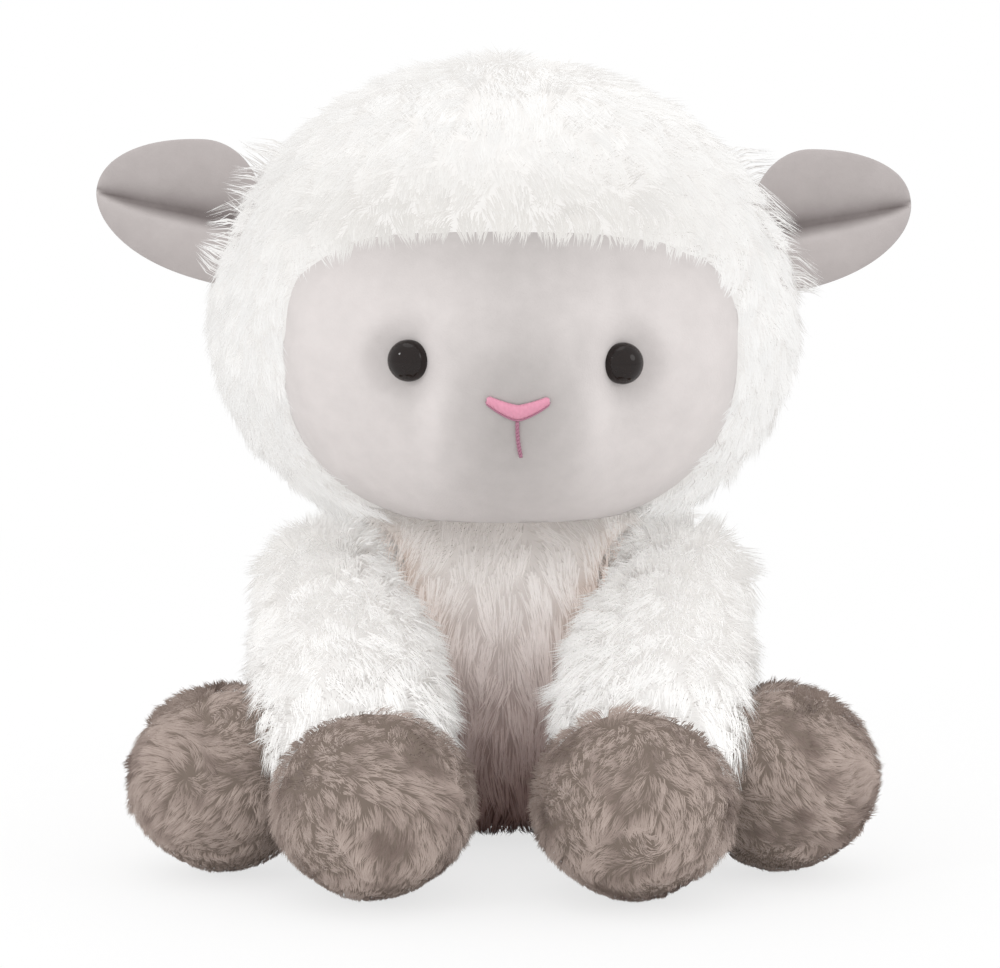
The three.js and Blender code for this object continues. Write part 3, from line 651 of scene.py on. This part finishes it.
def velour_nap_and_painted_light():
    """Node group of a short nap: a colour mixed between a painted shade and a lit colour, brushed a little,
    and a bumpy normal.
    """
    group = bpy.data.node_groups.new("velour_nap_and_painted_light", "ShaderNodeTree")
    group.interface.new_socket("Light", in_out="INPUT", socket_type="NodeSocketColor")
    group.interface.new_socket("Dark", in_out="INPUT", socket_type="NodeSocketColor")
    group.interface.new_socket("Painted Lighting", in_out="INPUT", socket_type="NodeSocketFloat")
    group.interface.new_socket("Color", in_out="OUTPUT", socket_type="NodeSocketColor")
    group.interface.new_socket("Normal", in_out="OUTPUT", socket_type="NodeSocketVector")
    nodes, links = group.nodes, group.links
    given, made = nodes.new("NodeGroupInput"), nodes.new("NodeGroupOutput")
    place = nodes.new("ShaderNodeTexCoord")
    brushed = nodes.new("ShaderNodeTexNoise")
    brushed.inputs["Scale"].default_value = 130
    brushed.inputs["Detail"].default_value = 5
    brushed.inputs["Roughness"].default_value = 0.6
    stray = nodes.new("ShaderNodeMapRange")
    stray.inputs["From Min"].default_value = 0.3
    stray.inputs["From Max"].default_value = 0.7
    stray.inputs["To Min"].default_value = -0.05
    stray.inputs["To Max"].default_value = 0.05
    # the painted light and shade given by the mesh, moved a little by the brushed nap
    lie = nodes.new("ShaderNodeMath")
    lie.operation = "ADD"
    lie.use_clamp = True
    tone = nodes.new("ShaderNodeMix")
    tone.data_type = "RGBA"
    fibres = nodes.new("ShaderNodeTexNoise")
    fibres.inputs["Scale"].default_value = 1600
    fibres.inputs["Detail"].default_value = 2
    bump = nodes.new("ShaderNodeBump")
    bump.inputs["Strength"].default_value = 0.3
    bump.inputs["Distance"].default_value = 0.0003
    links.new(place.outputs["Object"], brushed.inputs["Vector"])
    links.new(place.outputs["Object"], fibres.inputs["Vector"])
    links.new(brushed.outputs["Fac"], stray.inputs["Value"])
    links.new(given.outputs["Painted Lighting"], lie.inputs[0])
    links.new(stray.outputs["Result"], lie.inputs[1])
    links.new(lie.outputs["Value"], tone.inputs["Factor"])
    links.new(given.outputs["Dark"], tone.inputs[6])
    links.new(given.outputs["Light"], tone.inputs[7])
    links.new(fibres.outputs["Fac"], bump.inputs["Height"])
    links.new(tone.outputs[2], made.inputs["Color"])
    links.new(bump.outputs["Normal"], made.inputs["Normal"])
    return group


NAP_AND_PAINTED_LIGHT = velour_nap_and_painted_light()


def velour(name, light, dark):
    """A material painted from dark at 0, as painted shade, to light at 1, as the mesh's attribute of painted
    light and shade says.
    """
    material = soft_material(name, light, 0.95, 0.15)
    tree = material.node_tree
    nap = tree.nodes.new("ShaderNodeGroup")
    nap.node_tree = NAP_AND_PAINTED_LIGHT
    nap.inputs["Light"].default_value = (*light, 1)
    nap.inputs["Dark"].default_value = (*dark, 1)
    # the painted light and shade stored on the mesh
    lie = tree.nodes.new("ShaderNodeAttribute")
    lie.attribute_name = "painted_lighting"
    tree.links.new(lie.outputs["Fac"], nap.inputs["Painted Lighting"])
    tree.links.new(nap.outputs["Color"], tree.nodes["Principled BSDF"].inputs["Base Color"])
    tree.links.new(nap.outputs["Normal"], tree.nodes["Principled BSDF"].inputs["Normal"])
    return material


def mound(distance, width):
    """1 at no distance, falling smoothly to 0 beyond the width."""
    return math.exp(-((distance / width) ** 2))


def face_painted_lighting(x, z):
    """Painted light on the face: about 1 on the cheeks, less where painted shade falls on the snout's front,
    the brow, round the eyes and at the rim, and more as a painted highlight on the snout's sides.
    """
    # painted shade on the snout's front and under the hood at the brow
    snout = mound(x, 0.022) * mound(z - 0.147, 0.030)
    brow = mound(z - FACE_Z - FACE_RISE, 0.018) * mound(x, 0.060)
    # painted highlight on the snout's sides
    ridge = mound(abs(x) - 0.0255, 0.0045) * mound(z - 0.150, 0.022)
    # painted shade round the eyes
    under_eye = mound(abs(x) - EYE_SPACING / 2 - 0.001, 0.010) * mound(z - EYE_Z + 0.005, 0.011)
    # painted shade along the face's rim
    rim = max(0, face_share(x, z) - 0.9) / 0.1
    return 0.92 - 0.55 * snout - 0.42 * brow + 0.22 * ridge - 0.25 * under_eye - 0.16 * rim


panel = bmesh.new()
bmesh.ops.create_grid(panel, x_segments=110, y_segments=110, size=1)
painted_lighting = panel.verts.layers.float.new("painted_lighting")
for vert in panel.verts:
    p = vert.co.x * math.sqrt(1 - vert.co.y**2 / 2)
    q = vert.co.y * math.sqrt(1 - vert.co.x**2 / 2)
    reach, turn = math.hypot(p, q), math.atan2(q, p)
    power = BROW_POWER if q > 0 else CHEEK_POWER
    edge = (abs(math.cos(turn)) ** power + abs(math.sin(turn)) ** power) ** (-1 / power)
    x = FACE_HALF_WIDTH * reach * math.cos(turn) * edge
    z = FACE_Z + (FACE_RISE if q > 0 else FACE_DROP) * reach * math.sin(turn) * edge
    tuck = max(0.0, (reach - 0.93) / 0.07) ** 2 * SEAM_TUCK
    vert.co = head_pose @ head_front(x, z, tuck + 0.0001)
    # painted light and shade on the face
    vert[painted_lighting] = face_painted_lighting(x, z)
everything = panel.verts[:] + panel.edges[:] + panel.faces[:]
bmesh.ops.bisect_plane(
    panel, geom=everything, plane_co=(0, 0, NECK_Z + 0.0008), plane_no=(0, 0, -1), clear_outer=True
)
bmesh.ops.recalc_face_normals(panel, faces=panel.faces)
if sum(face.normal.y for face in panel.faces) > 0:
    bmesh.ops.reverse_faces(panel, faces=panel.faces)
face_panel = new_piece("face_velour", panel, velour("face_velour", FACE_LIGHT, FACE_PAINTED_SHADE))
wall = face_panel.modifiers.new("wall", "SOLIDIFY")
wall.thickness = FACE_THICKNESS
wall.offset = -1
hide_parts("face_panel")
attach(face_panel, "head")

# Ears: two leaves of velour sewn edge to edge, folded lengthwise so that the lower half lies in front, and
# sewn into the hood's side seams, where they fold forwards and back.
EAR_LENGTH = 0.053
EAR_RISE = 0.0225
EAR_DROP = 0.0235
EAR_THICKNESS = 0.0064
EAR_ROOT = Vector((0.087, -0.020, 0.2005))
EAR_LIFT = math.radians(9)
EAR_ROOT_DEPTH = 0.009
EAR_ROOT_SHARE = 0.16  # of the ear's length, over which its root rounds out below
EAR_TOP_ROOT_SHARE = 0.42  # and above
EAR_TIP_POWER = 2.6
EAR_UPPER_CUP = 0.008
EAR_LOWER_CUP = 0.0095
EAR_FOLD_SHARE = 0.1
EAR_RIDGE_SHARE = 0.22
EAR_CUP_FADE = 0.65
EAR_SEAM = 0.0003
# The ears' own colour, and a painted shade mixed into it in the fold and on the upper half.
EAR_LIGHT = (0.54, 0.497, 0.488)
EAR_PAINTED_SHADE = (0.17, 0.146, 0.142)
ear_velour = velour("ear_velour", EAR_LIGHT, EAR_PAINTED_SHADE)


def ear_half_height(share, level):
    """How far the ear reaches above or below its middle, at a share of its length from the root."""
    rounding = EAR_TOP_ROOT_SHARE if level > 0 else EAR_ROOT_SHARE
    root = math.sqrt(1 - (1 - min(1, share / rounding)) ** 2)
    if level > 0:
        return root * EAR_RISE * max(1 - share**EAR_TIP_POWER, 0) ** 0.5
    return root * EAR_DROP * max(1 - share**EAR_TIP_POWER, 0) ** 0.55


def ear_fold(level):
    """How far the leaf stands in front of its fold, and its painted shade, darkest in the fold and a little
    darker on the upper half than on the lower flap.
    """
    above = level + EAR_FOLD_SHARE
    if above > 0:
        return EAR_UPPER_CUP * above**1.3, 0.82 - 0.82 * math.exp(-above / 0.2)
    ridge = min(1, -above / EAR_RIDGE_SHARE)
    step = ridge * ridge * (3 - 2 * ridge)
    return EAR_LOWER_CUP * step * (1 + above / 2), step * (1 + 0.25 * above)


def ear_leaf(name, side, facing):
    """One velour leaf of an ear, the front one where facing is -1 and the back one where it is 1."""
    leaf = bmesh.new()
    bmesh.ops.create_icosphere(leaf, subdivisions=5, radius=1)
    painted_lighting = leaf.verts.layers.float.new("painted_lighting")
    place = Matrix.Translation(EAR_ROOT) @ Matrix.Rotation(-EAR_LIFT, 4, "Y")
    for vert in leaf.verts:
        way = vert.co.normalized()
        share = (1 + way.x) / 2
        ring = math.sqrt(max(1 - way.x * way.x, 0))
        level = max(-1, min(1, way.z / ring)) if ring > 0 else 0
        swell = facing * max(EAR_SEAM / 2, facing * way.y * EAR_THICKNESS / 2)
        # painted shade in the fold and on the upper half
        fold, lie = ear_fold(level)
        fold *= (1 - EAR_CUP_FADE * share) * min(1, 2 * ring)
        height = level * ear_half_height(share, level)
        vert.co = place @ Vector((EAR_LENGTH * share - EAR_ROOT_DEPTH, swell - fold, height))
        vert.co.x *= SIDES[side]
        vert.co = head_pose @ vert.co
        vert[painted_lighting] = lie
    bmesh.ops.recalc_face_normals(leaf, faces=leaf.faces)
    return new_piece(name, leaf, ear_velour)


for side in SIDES:
    for leaf, facing in (("front", -1), ("back", 1)):
        made = ear_leaf(f"ear_{leaf}_velour_{side}", side, facing)
        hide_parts(f"ear_{leaf}_{side}")
        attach(made, f"ear_{side}")

# Tail: a small stuffed pad of the coat, sewn on behind.
tail = stuffed_skin("tail_coat", "tail_cover", [], 0.0014, 4, PILE_STAND, coat_skin)
tail_pile = pile(
    "tail_pile", tail, coat_pile, 4500, hanging, 41, allowed=lambda root: root[:, 2] > 0.002,
    neighbours=["body_cover", "body_stuffing"],
)
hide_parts("tail_cover")
for piece in (tail, tail_pile):
    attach(piece, "tail")

# Eyes: domed safety eyes of glossy dark brown plastic, each with a stem through the velour. The frame's eye
# keeps its stem and dome, and its full bright dome is fitted over it, clear of the velour all round.
EYE_RADIUS = 0.0064
EYE_DOME = 0.0050
EYE_SPLAY = math.radians(14)
EYE_LIFT = 0.0013  # from the velour's hollow to the dome's widest ring
eye_gloss = soft_material("eye_gloss", (0.012, 0.007, 0.006), 0.05, scale=400, amount=0.6)
eye_gloss.node_tree.nodes["Principled BSDF"].inputs["Specular IOR Level"].default_value = 0.3
for side, sign in SIDES.items():
    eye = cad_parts[f"eye_{side}"]
    eye.data.materials.clear()
    eye.data.materials.append(eye_gloss)
    weld = eye.modifiers.new("weld", "WELD")
    weld.merge_threshold = 1e-6
    dome = bmesh.new()
    bmesh.ops.create_uvsphere(dome, u_segments=48, v_segments=32, radius=EYE_RADIUS)
    facing = Matrix.Rotation(sign * EYE_SPLAY, 4, "Z")
    centre = head_front(sign * EYE_SPACING / 2, EYE_Z, 0) + Vector((0, -EYE_LIFT, 0))
    for vert in dome.verts:
        forward = vert.co.z
        flat = EYE_DOME / EYE_RADIUS if forward > 0 else EYE_LIFT / EYE_RADIUS
        local = Vector((vert.co.x, -forward * flat, vert.co.y))
        vert.co = head_pose @ (centre + facing @ local)
    bmesh.ops.recalc_face_normals(dome, faces=dome.faces)
    dome_piece = new_piece(f"eye_dome_{side}", dome, eye_gloss)
    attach(dome_piece, "head")

# Nose and mouth: satin stitch in pink thread, laid upright side by side over the nose and edged below in
# mauve, and a mouth of two mauve strands twisted together.
NOSE_Z = 0.1472
NOSE_HALF_WIDTH = 0.0096
NOSE_TIP_RISE = 0.0031
NOSE_ARM = 0.0013
NOSE_POINT = 0.0039
NOSE_NOTCH = 0.0007  # height of the upper edge over the middle
NOSE_STITCHES = 46
STITCH_RADIUS = 0.00027
MOUTH_LENGTH = 0.0114
MOUTH_HOOK = 0.0017
MOUTH_TURNS = 5
MOUTH_RADIUS = 0.00036
EDGE_RADIUS = 0.0003
THREAD_SIDES = 6
nose_pink = soft_material("nose_thread", (0.80, 0.37, 0.49), 0.42, 0.1, scale=900)
thread_mauve = soft_material("mouth_thread", (0.45, 0.21, 0.29), 0.5, 0.1, scale=900)


def add_thread(form, path, radius):
    """A round thread along a path, with rounded ends."""
    rings = []
    for i, point in enumerate(path):
        forward = (path[min(i + 1, len(path) - 1)] - path[max(i - 1, 0)]).normalized()
        across = forward.cross(Vector((0, -1, 0.02))).normalized()
        lift = across.cross(forward).normalized()
        end = min(i, len(path) - 1 - i)
        girth = radius * (0.6 if end == 0 else 1)
        turns = [2 * math.pi * step / THREAD_SIDES for step in range(THREAD_SIDES)]
        ways = [across * math.cos(turn) + lift * math.sin(turn) for turn in turns]
        rings.append([form.verts.new(point + girth * way) for way in ways])
    for near, far in zip(rings, rings[1:]):
        for i in range(THREAD_SIDES):
            after = (i + 1) % THREAD_SIDES
            form.faces.new((near[i], near[after], far[after], far[i]))
    form.faces.new(rings[0][::-1])
    form.faces.new(rings[-1])


def on_face(x, z, lift):
    """The point that far over the face, at a place seen from in front."""
    return head_pose @ head_front(x, z, -lift)


def nose_edges(x):
    """Heights of the nose's upper and lower edge over its middle."""
    out = abs(x)
    tip_x, tip_z = NOSE_HALF_WIDTH - NOSE_ARM, NOSE_TIP_RISE - NOSE_ARM
    round_end = math.sqrt(max(NOSE_ARM**2 - (out - tip_x) ** 2, 0))
    rise = NOSE_TIP_RISE - NOSE_NOTCH
    upper = NOSE_NOTCH + rise * (out / tip_x) ** 1.3 if out < tip_x else tip_z + round_end
    turn_x = tip_x + NOSE_ARM / 2
    low = tip_z - NOSE_ARM * 0.87
    lower = -NOSE_POINT + (low + NOSE_POINT) * (out / turn_x) ** 1.5 if out < turn_x else tip_z - round_end
    return upper, lower


nose = bmesh.new()
for number in range(NOSE_STITCHES):
    share = 2 * (number + 0.5) / NOSE_STITCHES - 1
    x = share * (NOSE_HALF_WIDTH - STITCH_RADIUS)
    upper, lower = nose_edges(x)
    path = []
    for step in range(7):
        s = step / 6
        path.append(on_face(x, NOSE_Z + lower + (upper - lower) * s, 0.0003 + 0.0009 * math.sin(math.pi * s)))
    add_thread(nose, path, STITCH_RADIUS)
nose_piece = new_piece("nose_stitches", nose, nose_pink)
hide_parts("nose_embroidery")

mouth = bmesh.new()
rim = [-NOSE_HALF_WIDTH + NOSE_HALF_WIDTH * i / 20 for i in range(41)]
add_thread(mouth, [on_face(x, NOSE_Z + nose_edges(x)[1] - 0.0002, 0.0005) for x in rim], EDGE_RADIUS)
for ply in (0, math.pi):
    path = []
    for i in range(61):
        s = i / 60
        turn = 2 * math.pi * MOUTH_TURNS * s + ply
        x = MOUTH_HOOK * s * s + 0.0003 * math.cos(turn)
        z = NOSE_Z - NOSE_POINT - 0.0006 - MOUTH_LENGTH * s
        path.append(on_face(x, z, 0.0005 + 0.0003 * math.sin(turn) - 0.0008 * max(0, s - 0.93) / 0.07))
    add_thread(mouth, path, MOUTH_RADIUS)
mouth_piece = new_piece("mouth_stitches", mouth, thread_mauve)
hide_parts("mouth_embroidery")
for piece in (nose_piece, mouth_piece):
    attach(piece, "head")

# Studio: a pale floor that fades into the white of the sky, soft lamps above and at both sides, and the
# camera in front. The camera sees the sky plain white, while a slightly brighter one lights the sheep.
floor_form = bmesh.new()
bmesh.ops.create_grid(floor_form, x_segments=1, y_segments=1, size=6)

paper = bpy.data.materials.new("paper")
paper.use_nodes = True
tree = paper.node_tree
shader = tree.nodes["Principled BSDF"]
shader.inputs["Base Color"].default_value = (0.9, 0.9, 0.9, 1)
shader.inputs["Roughness"].default_value = 0.9
shine = tree.nodes.new("ShaderNodeEmission")
shine.inputs["Color"].default_value = (1, 1, 1, 1)
blend_in = tree.nodes.new("ShaderNodeMixShader")
path = tree.nodes.new("ShaderNodeLightPath")
place = tree.nodes.new("ShaderNodeTexCoord")
far = tree.nodes.new("ShaderNodeVectorMath")
far.operation = "LENGTH"
fade = tree.nodes.new("ShaderNodeMapRange")
fade.inputs["From Min"].default_value = 0.15
fade.inputs["From Max"].default_value = 0.75
fade.inputs["To Min"].default_value = 0.72
fade.inputs["To Max"].default_value = 1.0
seen = tree.nodes.new("ShaderNodeMath")
seen.operation = "MULTIPLY"
tree.links.new(place.outputs["Object"], far.inputs[0])
tree.links.new(far.outputs["Value"], fade.inputs["Value"])
tree.links.new(fade.outputs["Result"], seen.inputs[0])
tree.links.new(path.outputs["Is Camera Ray"], seen.inputs[1])
tree.links.new(seen.outputs[0], blend_in.inputs[0])
tree.links.new(shader.outputs[0], blend_in.inputs[1])
tree.links.new(shine.outputs[0], blend_in.inputs[2])
tree.links.new(blend_in.outputs[0], tree.nodes["Material Output"].inputs["Surface"])
studio_floor = new_piece("studio_floor", floor_form, paper)

world = bpy.data.worlds.new("studio")
bpy.context.scene.world = world
world.use_nodes = True
sky = world.node_tree.nodes["Background"]
sky.inputs["Color"].default_value = (1, 1, 1, 1)
sky.inputs["Strength"].default_value = 1.02
seen_sky = world.node_tree.nodes.new("ShaderNodeBackground")
seen_sky.inputs["Color"].default_value = (1, 1, 1, 1)
seen_sky.inputs["Strength"].default_value = 1.0
both = world.node_tree.nodes.new("ShaderNodeMixShader")
path = world.node_tree.nodes.new("ShaderNodeLightPath")
seen = world.node_tree.nodes.new("ShaderNodeMath")
seen.operation = "MAXIMUM"
also = world.node_tree.nodes.new("ShaderNodeMath")
also.operation = "MAXIMUM"
links = world.node_tree.links
links.new(path.outputs["Is Camera Ray"], seen.inputs[0])
links.new(path.outputs["Is Glossy Ray"], also.inputs[0])
links.new(path.outputs["Is Transmission Ray"], also.inputs[1])
links.new(also.outputs[0], seen.inputs[1])
links.new(seen.outputs[0], both.inputs[0])
links.new(sky.outputs[0], both.inputs[1])
links.new(seen_sky.outputs[0], both.inputs[2])
links.new(both.outputs[0], world.node_tree.nodes["World Output"].inputs["Surface"])


def lamp(name, place, aim, size, power):
    """A round soft lamp."""
    light = bpy.data.lights.new(name, "AREA")
    light.shape = "DISK"
    light.size = size
    light.energy = power
    holder = bpy.data.objects.new(name, light)
    bpy.context.scene.collection.objects.link(holder)
    holder.location = place
    holder.rotation_euler = (Vector(aim) - Vector(place)).to_track_quat("-Z", "Y").to_euler()


lamp("lamp_above", (-0.10, -0.12, 1.2), (0, 0, 0.1), 0.8, 1.2)
lamp("lamp_left", (-0.95, -0.75, 0.75), (0, 0, 0.12), 0.2, 1.3)
lamp("lamp_right", (1.0, -0.6, 0.6), (0, 0, 0.12), 0.5, 1.0)

camera_data = bpy.data.cameras.new("camera")
camera_data.lens = 120
camera_data.sensor_width = 36
camera = bpy.data.objects.new("camera", camera_data)
bpy.context.scene.collection.objects.link(camera)
camera.location = (-0.001, -1.0899, 0.2455)
aim = Vector((-0.001, -0.016, 0.1136))
camera.rotation_euler = (aim - camera.location).to_track_quat("-Z", "Y").to_euler()
bpy.context.scene.camera = camera
bpy.context.scene.view_settings.view_transform = "Standard"
